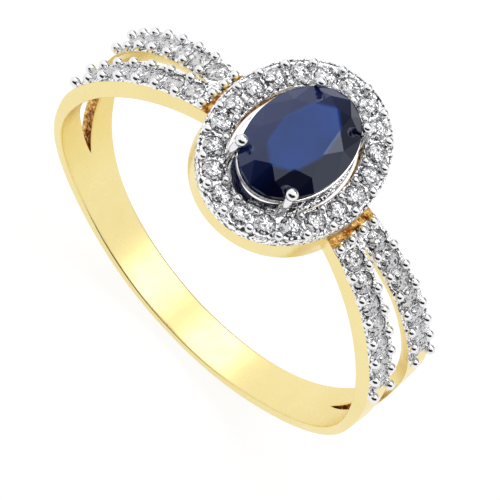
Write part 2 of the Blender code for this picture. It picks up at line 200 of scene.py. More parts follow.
# Curves and outlines


def hermite(u, start, end, slope_start, slope_end):
    """A point of the smooth curve from start to end, u running from 0 to 1."""
    return (
        (2 * u**3 - 3 * u**2 + 1) * start
        + (u**3 - 2 * u**2 + u) * slope_start
        + (3 * u**2 - 2 * u**3) * end
        + (u**3 - u**2) * slope_end
    )


def interpolate(outline, angle, column):
    """One column of an outline table, read along a smooth curve through its rows."""
    if angle <= outline[0][0]:
        return outline[0][column]
    if angle >= outline[-1][0]:
        return outline[-1][column]
    after = next(i for i, row in enumerate(outline) if row[0] > angle)
    low, high = outline[after - 1], outline[after]
    before_low = outline[max(after - 2, 0)]
    past_high = outline[min(after + 1, len(outline) - 1)]
    span = high[0] - low[0]
    slope_low = (high[column] - before_low[column]) / (high[0] - before_low[0]) * span
    slope_high = (past_high[column] - low[column]) / (past_high[0] - low[0]) * span
    return hermite((angle - low[0]) / span, low[column], high[column], slope_low, slope_high)


def spread(start, end, step):
    """Even values from start to end, no further apart than step."""
    count = max(1, math.ceil(abs(end - start) / step - 1e-9))
    return [start + (end - start) * i / count for i in range(count + 1)]


def rounded(corners, steps=3):
    """A closed outline with soft corners, each (x, y, radius). A radius of None keeps a corner sharp."""
    points = []
    for i, (x, y, radius) in enumerate(corners):
        here = Vector((x, y))
        if radius is None:
            points.append(here)
            continue
        before = Vector(corners[i - 1][:2])
        after = Vector(corners[(i + 1) % len(corners)][:2])
        start = here + (before - here).normalized() * radius
        end = here + (after - here).normalized() * radius
        for k in range(steps + 1):
            u = k / steps
            points.append((1 - u) ** 2 * start + 2 * u * (1 - u) * here + u**2 * end)
    return points


def circle(centre, turn, radius, level, segments):
    """Points of a circle that stands level above centre along the turned Z axis."""
    points = []
    for i in range(segments):
        angle = 2 * math.pi * i / segments
        points.append(centre + turn @ Vector((radius * math.cos(angle), radius * math.sin(angle), level)))
    return points


# The frame's own sizes, in millimetres


def node_box(name):
    low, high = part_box(name)
    return low / MM, high / MM


def node_points(name):
    return [v.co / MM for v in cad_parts[name].data.vertices]


def diamond_nodes(prefix=""):
    return sorted(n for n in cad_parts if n.startswith(prefix) and "diamond" in n)


def melee_radius():
    low, high = node_box("halo_diamond_01")
    return (high.x - low.x) / 2


def plate_span():
    """Angles at which a shoulder's plate starts and ends."""
    angles = [math.degrees(math.atan2(p.x, p.z)) for p in node_points("shoulder_pave_right")]
    return min(angles), max(angles)


def stone_place(node):
    """Middle of a round stone's table and the way it faces."""
    low, high = node_box(node)
    centre = (low + high) / 2
    facing = UP
    if not node.startswith("halo"):
        facing = Vector((centre.x, 0, centre.z)).normalized()
    points = node_points(node)
    top = max(p.dot(facing) for p in points)
    table = [p for p in points if p.dot(facing) > top - 0.01]
    return sum(table, Vector()) / len(table), facing


BORE = min(math.hypot(p.x, p.z) for p in node_points("shank"))


# Mesh building


def to_mesh(name, bm, materials):
    """Turn a bmesh in millimetres into a mesh in metres."""
    bmesh.ops.scale(bm, vec=(MM, MM, MM), verts=bm.verts[:])
    mesh = bpy.data.meshes.new(name)
    bm.to_mesh(mesh)
    bm.free()
    for material in materials:
        mesh.materials.append(material)
    return mesh


def link_piece(name, mesh, node):
    """Show a mesh, ride it on the ring's one body and let it stand for a CAD node."""
    piece = bpy.data.objects.new(name, mesh)
    bpy.context.scene.collection.objects.link(piece)
    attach(piece, BODY)
    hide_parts(node)
    return piece


def link_smooth(name, bm, materials, node):
    mesh = to_mesh(name, bm, materials)
    mesh.shade_smooth()
    mesh.set_sharp_from_angle(angle=SHARP)
    link_piece(name, mesh, node)


def add_loft(bm, rings, closed, capped=False, material_index=0):
    """Skin a run of equal rings of points."""
    loops = [[bm.verts.new(point) for point in ring] for ring in rings]
    size = len(loops[0])
    pairs = list(zip(loops, loops[1:]))
    if closed:
        pairs.append((loops[-1], loops[0]))
    for here, there in pairs:
        for i in range(size):
            j = (i + 1) % size
            bm.faces.new((here[i], here[j], there[j], there[i])).material_index = material_index
    if capped:
        for cap in (loops[0][::-1], loops[-1]):
            bm.faces.new(cap).material_index = material_index


def add_turned(bm, centre, facing, profile, segments):
    """A closed turned shape in the second material. The profile lists (radius, level along facing)."""
    turn = facing.to_track_quat("Z", "Y")
    rings = [circle(centre, turn, radius, level, segments) for radius, level in profile]
    add_loft(bm, rings, closed=False, capped=True, material_index=1)


def add_oval_ring(bm, profile):
    """An oval band. The profile lists (half length in x, half length in y, z) round its cross-section."""
    rings = []
    for i in range(OVAL_STEPS):
        turn = 2 * math.pi * i / OVAL_STEPS
        rings.append([Vector((hx * math.cos(turn), hy * math.sin(turn), z)) for hx, hy, z in profile])
    add_loft(bm, rings, closed=True)


def clean(bm, distance=1e-5):
    bmesh.ops.remove_doubles(bm, verts=bm.verts[:], dist=distance)
    bmesh.ops.dissolve_degenerate(bm, edges=bm.edges[:], dist=distance)
    bmesh.ops.recalc_face_normals(bm, faces=bm.faces[:])


def cut(bm, cutter):
    """Subtract one bmesh from another and give back the result. Both use the same two materials."""
    target = bpy.data.objects.new("cut_target", bpy.data.meshes.new("cut_target"))
    tool = bpy.data.objects.new("cut_tool", bpy.data.meshes.new("cut_tool"))
    for made, source in ((target, bm), (tool, cutter)):
        for _ in range(2):
            made.data.materials.append(None)
        bmesh.ops.recalc_face_normals(source, faces=source.faces[:])
        source.to_mesh(made.data)
        source.free()
        bpy.context.scene.collection.objects.link(made)
    boolean = target.modifiers.new("cut", "BOOLEAN")
    boolean.operation = "DIFFERENCE"
    boolean.solver = "EXACT"
    boolean.use_self = True
    boolean.object = tool
    result = bmesh.new()
    result.from_object(target, bpy.context.evaluated_depsgraph_get())
    bpy.data.objects.remove(target)
    bpy.data.objects.remove(tool)
    return result


# Shank


def band_half_width(angle):
    return interpolate(BAND_OUTLINE, angle, 1)


def side_height(angle):
    """Height of the band's side face above the bore."""
    return interpolate(BAND_OUTLINE, angle, 2)


def on_band(angle, y, radius):
    turn = math.radians(angle)
    return Vector((radius * math.sin(turn), y, radius * math.cos(turn)))


def band_face(angle, y):
    """Radius of the band's outer face at a distance y from its middle plane."""
    dome = interpolate(BAND_OUTLINE, angle, 3) * (1 - (y / band_half_width(angle)) ** 2)
    return BORE + side_height(angle) + dome


def split_half_width(angle, radius):
    if not SPLIT_START <= angle < SPLIT_END:
        return 0.0
    inner = interpolate(SPLIT_OUTLINE, angle, 1)
    outer = interpolate(SPLIT_OUTLINE, angle, 2)
    return inner + (outer - inner) * (radius - BORE) / side_height(angle)


def plate_edges(angle, depth=0.0):
    """Inner and outer edge of a shoulder plate, as distances from the middle plane."""
    face = BORE + side_height(angle)
    inner = split_half_width(max(angle, SPLIT_START), face - depth) + PLATE_SIDE_WALL
    if angle < SPLIT_START:
        ease = min((SPLIT_START - angle) / (SPLIT_START - PLATE_JOIN_ANGLE), 1.0)
        inner -= inner * ease
    return max(inner, 0.0), band_half_width(angle) - PLATE_SIDE_WALL


def section_points(angle, pocket):
    """Half of the band's section as (y, radius), always with the same number of points.

    It runs along the bore, up the side, over the outer face with its pocket, and ends above its start.
    """
    side = band_half_width(angle)
    bore_in = split_half_width(angle, BORE)
    face_in = split_half_width(angle, band_face(angle, 0))
    lip_in, lip_out = plate_edges(angle)
    if not pocket:
        lip_in = face_in + 0.1 * (side - face_in)
        lip_out = face_in + 0.9 * (side - face_in)
    corners = [(bore_in, BORE, min(SPLIT_BORE_RADIUS, bore_in / 2))]
    corners += [(bore_in + (side - bore_in) * k / BORE_CUTS, BORE, None) for k in range(1, BORE_CUTS)]
    corners.append((side, BORE, BORE_EDGE_RADIUS))
    corners.append((side, band_face(angle, side), FACE_EDGE_RADIUS))
    corners.append((lip_out, band_face(angle, lip_out), None))
    for k in range(FACE_CUTS + 1):
        y = lip_out + (lip_in - lip_out) * k / FACE_CUTS
        corners.append((y, band_face(angle, y) - pocket, None))
    corners.append((lip_in, band_face(angle, lip_in), None))
    corners.append((face_in, band_face(angle, face_in), min(SPLIT_FACE_RADIUS, face_in / 2)))
    return rounded(corners, steps=4)


def shank_stations():
    """(angle, pocket depth) along one side. Stations an END_WALL apart make the ends of the pocket."""
    plate_start, plate_end = plate_span()
    stations = [(plate_start - END_WALL, 0.0), (plate_start, POCKET_DEPTH)]
    stations += [(a, POCKET_DEPTH) for a in spread(plate_start, SPLIT_START - END_WALL, JOIN_STEP)[1:]]
    stations += [(a, POCKET_DEPTH) for a in spread(SPLIT_START, plate_end, STATION_STEP)]
    stations += [(a, 0.0) for a in spread(plate_end + END_WALL, SPLIT_END, STATION_STEP)]
    stations += [(a, 0.0) for a in spread(SPLIT_END, 180.0, STATION_STEP)[1:]]
    return stations


def head_rings(first_angle):
    """Rings of points from inside the gallery's oval wall to the first station."""
    _, high = node_box("halo_gallery")
    wall_x, wall_y = high.x - HEAD_WALL_INSET, high.y - HEAD_WALL_INSET
    section = section_points(HEAD_ANGLE, 0.0)
    rings = []
    for k in range(HEAD_STATIONS):
        ring = []
        for y, radius in section:
            wall_angle = math.degrees(math.asin(wall_x * math.sqrt(1 - (y / wall_y) ** 2) / radius))
            angle = wall_angle + (first_angle - wall_angle) * k / HEAD_STATIONS
            ring.append(on_band(angle, y * band_half_width(angle) / band_half_width(HEAD_ANGLE), radius))
        rings.append(ring)
    return rings


def quarter_shank():
    """The quarter with x > 0 and y > 0: its points, its faces and each face's material."""
    stations = shank_stations()
    angles = [HEAD_ANGLE] * HEAD_STATIONS + [angle for angle, _ in stations]
    rings = head_rings(stations[0][0])
    for angle, pocket in stations:
        rings.append([on_band(angle, y, radius) for y, radius in section_points(angle, pocket)])
    size = len(rings[0])
    points = [p for ring in rings for p in ring]
    faces = [tuple(range(size))[::-1]]
    looks = [0]
    for r in range(len(rings) - 1):
        for i in range(size):
            j = (i + 1) % size
            corners = (r * size + i, r * size + j, (r + 1) * size + j, (r + 1) * size + i)
            if all(abs(points[corner].y) < 1e-6 for corner in corners):
                continue
            faces.append(corners)
            # Faces in the recesses by the head and in the split tips get the rough gold with painted shade.
            shaded_top = r < HEAD_STATIONS and rings[0][i].length - BORE > SHADED_TOP_HEIGHT
            shaded_tip = j == 0 and angles[r] > SHADED_TIP_ANGLE
            looks.append(1 if shaded_top or shaded_tip else 0)
    return points, faces, looks


def make_shank(materials):
    points, faces, looks = quarter_shank()
    bm = bmesh.new()
    for x_sign in (1, -1):
        for y_sign in (1, -1):
            verts = [bm.verts.new((p.x * x_sign, p.y * y_sign, p.z)) for p in points]
            for face, look in zip(faces, looks):
                bm.faces.new([verts[i] for i in face]).material_index = look
    clean(bm)
    link_smooth("shank_polished", bm, materials, "shank")


# Stones


def add_brilliant(bm, radii, table_share, crown, girdle, pavilion, arc=2, star=0.5, lower=0.24):
    """A 57-facet brilliant with its girdle's upper edge at z = 0.

    The radii and the table's shares of them are (x, y). Each facet beside the girdle meets it in arc edges,
    and star and lower say how far the star facets reach out and the lower facets reach in.
    """
    eighth = math.pi / 4
    half = eighth / 2

    def at(turn, shares, height):
        return (radii[0] * shares[0] * math.cos(turn), radii[1] * shares[1] * math.sin(turn), height)

    star_share = tuple(share + (1 - share) * star for share in table_share)
    crown_slope = crown / (1 - sum(table_share) / 2)
    star_height = crown_slope * (1 - sum(star_share) / 2 * math.cos(half))
    lower_height = -girdle - pavilion * (1 - lower * math.cos(half))
    new = bm.verts.new
    table = [new(at(k * eighth, table_share, crown)) for k in range(8)]
    stars = [new(at(k * eighth + half, star_share, star_height)) for k in range(8)]
    lowers = [new(at(k * eighth + half, (lower, lower), lower_height)) for k in range(8)]
    rim = 16 * arc
    upper = [new(at(2 * math.pi * i / rim, (1, 1), 0.0)) for i in range(rim)]
    under = [new(at(2 * math.pi * i / rim, (1, 1), -girdle)) for i in range(rim)]
    culet = new((0, 0, -girdle - pavilion))
    bm.faces.new(table)
    for k in range(8):
        here = 2 * arc * k
        first = [i % rim for i in range(here, here + arc + 1)]
        second = [i % rim for i in range(here + arc, here + 2 * arc + 1)]
        bm.faces.new((table[k], stars[k], table[(k + 1) % 8]))
        bm.faces.new((table[k], stars[k - 1], upper[here], stars[k]))
        bm.faces.new((culet, lowers[k], under[here], lowers[k - 1]))
        for edge in (first, second):
            bm.faces.new([stars[k], *(upper[i] for i in edge)])
            bm.faces.new([lowers[k], *(under[i] for i in reversed(edge))])
    for i in range(rim):
        j = (i + 1) % rim
        bm.faces.new((upper[i], upper[j], under[j], under[i]))


def brilliant_mesh(name, material, *sizes, **shape):
    bm = bmesh.new()
    add_brilliant(bm, *sizes, **shape)
    bmesh.ops.recalc_face_normals(bm, faces=bm.faces[:])
    mesh = to_mesh(name, bm, (material,))
    mesh.shade_flat()
    return mesh


def make_small_stones(material):
    """One shared cut, turned and tilted a little differently in each seat, as a setter leaves them."""
    radius = melee_radius()
    shares = (MELEE_TABLE, MELEE_TABLE)
    sizes = ((radius, radius), shares, CROWN_HEIGHT, GIRDLE_HEIGHT, PAVILION_DEPTH)
    mesh = brilliant_mesh("melee_brilliant", material, *sizes)
    dice = random.Random(STONE_SEED)
    for i, node in enumerate(diamond_nodes()):
        table, facing = stone_place(node)
        tilt = (dice.uniform(-STONE_TILT, STONE_TILT), dice.uniform(-STONE_TILT, STONE_TILT), 0)
        lean = UP + Vector(tilt)
        place = Matrix.Translation((table - facing * CROWN_HEIGHT) * MM)
        for turn in (facing, lean):
            place = place @ turn.to_track_quat("Z", "Y").to_matrix().to_4x4()
        piece = link_piece(f"{node}_cut", mesh, node)
        piece.matrix_world = place @ Matrix.Rotation(i * SPIN_STEP, 4, "Z")


def make_sapphire(material):
    low, high = node_box("centre_sapphire")
    pavilion = high.z - low.z - SAPPHIRE_CROWN - SAPPHIRE_GIRDLE
    sizes = ((high.x, high.y), SAPPHIRE_TABLE, SAPPHIRE_CROWN, SAPPHIRE_GIRDLE, pavilion)
    mesh = brilliant_mesh("sapphire_cut", material, *sizes, arc=5, lower=0.3)
    piece = link_piece("sapphire_cut", mesh, "centre_sapphire")
    piece.location = (0, 0, (high.z - SAPPHIRE_CROWN) * MM)


# Pavé plates and their grains


def add_grain(bm, foot, facing, radius, height):
    """A pillar with a round top and a tapered foot, standing along facing."""
    shoulder = height - radius
    profile = [(radius * 0.6, -GRAIN_SUNK), (radius * 0.92, 0.02), (radius, shoulder)]
    for k in range(1, GRAIN_DOME_STEPS):
        lift = math.radians(90 * k / GRAIN_DOME_STEPS)
        profile.append((radius * math.cos(lift), shoulder + radius * math.sin(lift)))
    add_turned(bm, foot, facing, profile, GRAIN_SEGMENTS)


def seat_cutters(nodes):
    """Drilled seats under the named stones: a cone for the pavilion and a hole through the plate."""
    radius = melee_radius() + SEAT_CLEARANCE
    mouth, hole = radius + SEAT_BEVEL, SEAT_HOLE_RADIUS
    profile = ((mouth, 0.3), (mouth, 0.02), (radius, -0.03), (hole, -0.4), (hole, -0.9))
    seats = bmesh.new()
    for node in nodes:
        table, facing = stone_place(node)
        add_turned(seats, table - facing * CROWN_HEIGHT, facing, profile, SEAT_SIDES)
    return seats


def make_halo_plate(materials):
    """White plate with a raised rim, drilled seats, a grain outside every gap between stones and one inside
    it where the claws leave room.
    """
    low, high = node_box("halo_pave_plate")
    top = high.z
    face = top - HALO_FACE_DROP
    row_x, row_y = high.x - HALO_ROW_INSET, high.y - HALO_ROW_INSET
    corners = [
        (-0.58, low.z, 0.02), (0.68, low.z, 0.02), (0.68, top - 0.06, 0.04), (0.62, top, 0.03),
        (0.56, top - 0.06, 0.02), (0.40, face, None), (-0.46, face, None), (-0.52, top - 0.01, 0.02),
        (-0.58, top - 0.03, 0.02),
    ]
    bm = bmesh.new()
    add_oval_ring(bm, [(row_x + p.x, row_y + p.x, p.y) for p in rounded(corners)])
    nodes = diamond_nodes("halo")
    bm = cut(bm, seat_cutters(nodes))
    tables = sorted((stone_place(n)[0] for n in nodes), key=lambda p: math.atan2(p.y, p.x))
    for here, there in zip(tables, [*tables[1:], tables[0]]):
        middle = (here + there) / 2
        middle.z = face
        out = Vector((middle.x / row_x**2, middle.y / row_y**2, 0)).normalized()
        add_grain(bm, middle + out * OUTER_GRAIN_OFFSET, (UP + out * 0.15).normalized(), 0.22, 0.36)
        claw_x = math.copysign(CLAW_BALL_CENTRE.x, middle.x)
        claw_y = math.copysign(CLAW_BALL_CENTRE.y, middle.y)
        if math.hypot(claw_x - middle.x, claw_y - middle.y) > CLAW_CLEARANCE:
            add_grain(bm, middle - out * INNER_GRAIN_OFFSET, (UP - out * 0.12).normalized(), 0.19, 0.26)
    link_smooth("halo_plate_grained", bm, materials, "halo_pave_plate")


def add_shoulder_strip(bm, side, row):
    """White strip on one strand: it sits in the pocket and its thin lip covers the strand's whole face."""
    rings = []
    for angle in spread(STRIP_START_ANGLE, plate_span()[1] - STRIP_END_GAP_ANGLE, 1.0):
        face = BORE + side_height(angle)
        foot, rest = face - STRIP_DEPTH, face + STRIP_EDGE_GAP
        body_in, body_out = plate_edges(angle, STRIP_DEPTH)
        lip_in = split_half_width(angle, face) + STRIP_EDGE_GAP
        lip_out = band_half_width(angle) - STRIP_EDGE_GAP
        corners = [
            (body_in + STRIP_INSET, foot, 0.01),
            (body_out - STRIP_INSET, foot, 0.01),
            (body_out - STRIP_INSET, rest, None),
            (lip_out, rest, None),
            (lip_out, face + STRIP_LIP, 0.02),
            (body_out - STRIP_LIP_WIDTH, face + STRIP_FLAT, 0.01),
            (body_in + STRIP_LIP_WIDTH, face + STRIP_FLAT, 0.01),
            (lip_in, face + STRIP_LIP, min(0.02, lip_in / 2)),
            (lip_in, rest, None),
            (body_in + STRIP_INSET, rest, None),
        ]
        section = [on_band(angle, y, radius) for y, radius in rounded(corners)]
        rings.append([Vector((p.x * side, p.y * row, p.z)) for p in section])
    add_loft(bm, rings, closed=False, capped=True)


def add_row_grains(bm, nodes):
    """A pair of grains after each stone of a strand's row."""
    tables, facings = zip(*(stone_place(n) for n in nodes))
    tables += (tables[-1] * 2 - tables[-2],)
    facings += facings[-1:]
    for i in range(len(nodes)):
        facing = (facings[i] + facings[i + 1]).normalized()
        foot = (tables[i] + tables[i + 1]) / 2 - facing * ROW_GRAIN_FOOT
        for hand in (-1, 1):
            sideways = Vector((0, hand, 0))
            lean = (facing + sideways * ROW_GRAIN_LEAN).normalized()
            add_grain(bm, foot + sideways * ROW_GRAIN_OFFSET, lean, 0.23, 0.42)


def make_shoulder_plate(side_name, side, materials):
    bm = bmesh.new()
    for row_name, row in ROWS:
        nodes = diamond_nodes(f"{side_name}_{row_name}")
        strip = bmesh.new()
        add_shoulder_strip(strip, side, row)
        strip = cut(strip, seat_cutters(nodes))
        add_row_grains(strip, nodes)
        mesh = bpy.data.meshes.new("strip")
        strip.to_mesh(mesh)
        strip.free()
        bm.from_mesh(mesh)
        bpy.data.meshes.remove(mesh)
    for y in END_GRAIN_OFFSETS:
        foot = on_band(END_GRAIN_ANGLE, y, BORE + side_height(END_GRAIN_ANGLE))
        foot.x *= side
        add_grain(bm, foot, Vector((foot.x, 0, foot.z)).normalized(), 0.23, 0.30)
    link_smooth(f"shoulder_plate_{side_name}", bm, materials, f"shoulder_pave_{side_name}")


# Gallery and basket


def make_gallery(materials):
    """Oval wall under the halo, its foot following the finger bore, with a ledge inside its top."""
    _, high = node_box("halo_gallery")
    top = high.z
    ledge_foot = top - GALLERY_LEDGE_HEIGHT
    rings = []
    for i in range(OVAL_STEPS):
        turn = 2 * math.pi * i / OVAL_STEPS
        across, along = math.cos(turn), math.sin(turn)
        outer_foot = math.sqrt(BORE**2 - (high.x * across) ** 2)
        inner_foot = math.sqrt(BORE**2 - ((high.x - GALLERY_WALL) * across) ** 2)
        corners = [
            (0.0, outer_foot, 0.06),
            (0.0, top, 0.03),
            (-GALLERY_LEDGE_WIDTH, top, 0.03),
            (-GALLERY_LEDGE_WIDTH, ledge_foot, 0.03),
            (-GALLERY_WALL, ledge_foot, 0.02),
            (-GALLERY_WALL, inner_foot, 0.06),
        ]
        ring = []
        for p in rounded(corners):
            ring.append(Vector(((high.x + p.x) * across, (high.y + p.x) * along, p.y)))
        rings.append(ring)
    bm = bmesh.new()
    add_loft(bm, rings, closed=True)
    clean(bm)
    # The ledge and wall inside the polished rim get the rough gold with painted shade.
    rim_x, rim_y = high.x - GALLERY_POLISHED_RIM, high.y - GALLERY_POLISHED_RIM
    for face in bm.faces:
        middle = face.calc_center_median()
        if (middle.x / rim_x) ** 2 + (middle.y / rim_y) ** 2 < 1:
            face.material_index = 1
    link_smooth("gallery_polished", bm, materials, "halo_gallery")


def claw_path(signs, bend):
    """Points along a claw's wire. Its last two route points are bent over."""
    route = [Vector((signs[0] * x, signs[1] * y, z)) for x, y, z in CLAW_ROUTE]
    route[-1] += bend
    route[-2] += bend * 0.4
    path = []
    for i, (start, end) in enumerate(zip(route, route[1:])):
        slope_start = (end - route[max(i - 1, 0)]) / 2
        slope_end = (route[min(i + 2, len(route) - 1)] - start) / 2
        path += [hermite(k / CLAW_STEPS, start, end, slope_start, slope_end) for k in range(CLAW_STEPS)]
    return [*path, route[-1]]


def add_claw(bm, signs):
    """A round wire that follows the claw's path and ends in a ball."""
    bend = Vector((*CLAW_BENDS[signs], 0))
    path = claw_path(signs, bend)
    rings = []
    for i, point in enumerate(path):
        ahead = path[min(i + 1, len(path) - 1)] - path[max(i - 1, 0)]
        rings.append(circle(point, ahead.to_track_quat("Z", "Y"), CLAW_RADIUS, 0, CLAW_SEGMENTS))
    add_loft(bm, rings, closed=False, capped=True)
    x, y, z = CLAW_BALL_CENTRE
    ball = bmesh.ops.create_uvsphere(bm, u_segments=32, v_segments=20, radius=CLAW_BALL_RADII[signs[1]])
    bmesh.ops.translate(bm, verts=ball["verts"], vec=Vector((signs[0] * x, signs[1] * y, z)) + bend)


def make_basket(materials):
    """Two rails and four claws. The right part of the lower rail gets the pitted white gold, whose dark
    pits are painted shade.
    """
    _, high = node_box("centre_sapphire")
    bm = bmesh.new()
    for outset, width, bottom, top in BASKET_RAILS:
        inset = outset - width
        square = ((outset, bottom), (outset, top), (inset, top), (inset, bottom))
        corners = [(*corner, RAIL_EDGE_RADIUS) for corner in square]
        add_oval_ring(bm, [(high.x + p.x, high.y + p.x, p.y) for p in rounded(corners)])
    # Painted shade: the right part of the lower rail gets the dark-pitted white gold.
    for face in bm.faces:
        middle = face.calc_center_median()
        if middle.z < BASKET_RAILS[0][2] and middle.x >= RAIL_SHADE_FROM_X:
            face.material_index = 1
    for x_sign in (-1, 1):
        for y_sign in (-1, 1):
            add_claw(bm, (x_sign, y_sign))
    bmesh.ops.recalc_face_normals(bm, faces=bm.faces[:])
    link_smooth("basket_polished", bm, materials, "centre_basket")


# Material nodes


def new_material(name, metallic=0.0):
    material = bpy.data.materials.new(name)
    material.use_nodes = True
    tree = material.node_tree
    shader = tree.nodes["Principled BSDF"]
    shader.inputs["Metallic"].default_value = metallic
    return material, tree, shader


def place_at(tree):
    """Place on the ring, or on a stone, in its own coordinates."""
    return tree.nodes.new("ShaderNodeTexCoord").outputs["Object"]


def noise_at(tree, scale, detail=3.0, roughness=0.5):
    """Noise in a piece's own coordinates. Scale is in waves per millimetre."""
    made = tree.nodes.new("ShaderNodeTexNoise")
    made.inputs["Scale"].default_value = scale / MM
    made.inputs["Detail"].default_value = detail
    made.inputs["Roughness"].default_value = roughness
    tree.links.new(place_at(tree), made.inputs["Vector"])
    return made.outputs["Fac"]


def cells_at(tree, scale, feature="F1"):
    """Distance in a pattern of cells, scale of them to a millimetre."""
    made = tree.nodes.new("ShaderNodeTexVoronoi")
    made.feature = feature
    made.inputs["Scale"].default_value = scale / MM
    tree.links.new(place_at(tree), made.inputs["Vector"])
    return made.outputs["Distance"]


def ramp(tree, factor, low, high, low_at=0.3, high_at=0.7):
    """Low where the factor is low_at, high where it is high_at, and a straight run between them."""
    made = tree.nodes.new("ShaderNodeMapRange")
    made.inputs["From Min"].default_value = low_at
    made.inputs["From Max"].default_value = high_at
    made.inputs["To Min"].default_value = low
    made.inputs["To Max"].default_value = high
    tree.links.new(factor, made.inputs["Value"])
    return made.outputs["Result"]


def mix_colours(tree, factor, first, second):
    """Each of first and second is a colour or another node's output."""
    made = tree.nodes.new("ShaderNodeMix")
    made.data_type = "RGBA"
    for name, colour in (("A", first), ("B", second)):
        if isinstance(colour, tuple):
            made.inputs[name].default_value = (*colour, 1)
        else:
            tree.links.new(colour, made.inputs[name])
    tree.links.new(factor, made.inputs["Factor"])
    return made.outputs["Result"]


def combine(tree, operation, first, second):
    made = tree.nodes.new("ShaderNodeMath")
    made.operation = operation
    tree.links.new(first, made.inputs[0])
    tree.links.new(second, made.inputs[1])
    return made.outputs["Value"]


def with_vector(tree, operation, place, vector, output):
    made = tree.nodes.new("ShaderNodeVectorMath")
    made.operation = operation
    made.inputs[1].default_value = vector
    tree.links.new(place, made.inputs[0])
    return made.outputs[output]


def axis(tree, place, name):
    made = tree.nodes.new("ShaderNodeSeparateXYZ")
    tree.links.new(place, made.inputs["Vector"])
    return made.outputs[name]


def bump(tree, height, distance):
    made = tree.nodes.new("ShaderNodeBump")
    made.inputs["Strength"].default_value = 1.0
    made.inputs["Distance"].default_value = distance * MM
    tree.links.new(height, made.inputs["Height"])
    return made.outputs["Normal"]


# Materials


def polished_metal(name, tones, smooth, rough, ripple, ripple_depth):
    """Polished metal: slow colour drift, cloudy polish and a faint ripple left by the buffing wheel."""
    material, tree, shader = new_material(name, metallic=1.0)
    drift = ramp(tree, noise_at(tree, 0.35), 0.0, 1.0)
    tree.links.new(mix_colours(tree, drift, *tones), shader.inputs["Base Color"])
    tree.links.new(ramp(tree, noise_at(tree, 1.6), smooth, rough), shader.inputs["Roughness"])
    tree.links.new(bump(tree, noise_at(tree, ripple), ripple_depth), shader.inputs["Normal"])
    return material


def paint_bore_reflection(material):
    """Warm the gold on the upper part of the bore: painted reflection, the deeper colour of light bounced
    between the gold walls.
    """
    tree = material.node_tree
    shader = tree.nodes["Principled BSDF"]
    place = place_at(tree)
    across = with_vector(tree, "MULTIPLY", place, (1, 0, 1), "Vector")
    from_axis = with_vector(tree, "DISTANCE", across, (0, 0, 0), "Value")
    inside = ramp(tree, from_axis, 1.0, 0.0, (BORE + 0.01) * MM, (BORE + 0.06) * MM)
    upper = ramp(tree, axis(tree, place, "Z"), 0.0, 1.0, -5.5 * MM, -0.5 * MM)
    gold = shader.inputs["Base Color"].links[0].from_socket
    # Painted reflection: a deeper gold mixed into the upper bore.
    painted_bounce = mix_colours(tree, combine(tree, "MULTIPLY", inside, upper), gold, (0.80, 0.59, 0.11))
    tree.links.new(painted_bounce, shader.inputs["Base Color"])


def shaded_recess_gold():
    """Rough, pitted yellow gold at the foot of the head and in the splits' tips; its dark brown pits and
    deeper tone are painted shade in these recesses.
    """
    material, tree, shader = new_material("yellow_gold_recess_shaded", metallic=1.0)
    pit_shade = ramp(tree, noise_at(tree, 3.5, 4.0, 0.65), 0.0, 1.0, 0.40, 0.62)
    # Painted shade: dark brown pits and a deeper tone.
    colour = mix_colours(tree, pit_shade, (0.28, 0.08, 0.01), (0.93, 0.60, 0.20))
    tree.links.new(colour, shader.inputs["Base Color"])
    tree.links.new(ramp(tree, noise_at(tree, 2.0), 0.25, 0.45), shader.inputs["Roughness"])
    tree.links.new(bump(tree, noise_at(tree, 4.0, 2.0), 0.15), shader.inputs["Normal"])
    return material


def graved_shaded_metal():
    """White gold between the stones: left rough by the graver, with dark pits that are painted shade in the
    crevices between stones.
    """
    material, tree, shader = new_material("white_gold_graved_shaded", metallic=1.0)
    pit_shade = ramp(tree, noise_at(tree, 7.0, 2.0), 0.0, 1.0, 0.39, 0.49)
    # Painted shade: near-black pits in the colour.
    colour = mix_colours(tree, pit_shade, (0.05, 0.05, 0.05), (0.96, 0.96, 0.97))
    tree.links.new(colour, shader.inputs["Base Color"])
    tree.links.new(ramp(tree, noise_at(tree, 2.0), 0.10, 0.30), shader.inputs["Roughness"])
    tree.links.new(bump(tree, noise_at(tree, 6.0, 2.0), 0.10), shader.inputs["Normal"])
    return material


def diamond():
    """Clear stone with a bright lustre, broken dark strokes painted into its colour as painted reflections
    of dark facets, and the uneven flashes of tiny facets.
    """
    material, tree, shader = new_material("diamond_clear", metallic=0.45)
    shader.inputs["Transmission Weight"].default_value = 1.0
    shader.inputs["IOR"].default_value = 2.417
    # Painted reflection: dark strokes along the cell edges, broken by noise, in the colour.
    off_painted_stroke = ramp(tree, cells_at(tree, 7.0, "DISTANCE_TO_EDGE"), 0.0, 1.0, 0.03, 0.12)
    gap = ramp(tree, noise_at(tree, 5.0, 1.0), 0.0, 1.0, 0.42, 0.50)
    clear = combine(tree, "MAXIMUM", off_painted_stroke, gap)
    colour = mix_colours(tree, clear, (0.05, 0.05, 0.06), (0.98, 0.98, 1.0))
    tree.links.new(colour, shader.inputs["Base Color"])
    tree.links.new(ramp(tree, noise_at(tree, 6.0), 0.0, 0.02), shader.inputs["Roughness"])
    tree.links.new(bump(tree, cells_at(tree, 5.5), 0.06), shader.inputs["Normal"])
    return material


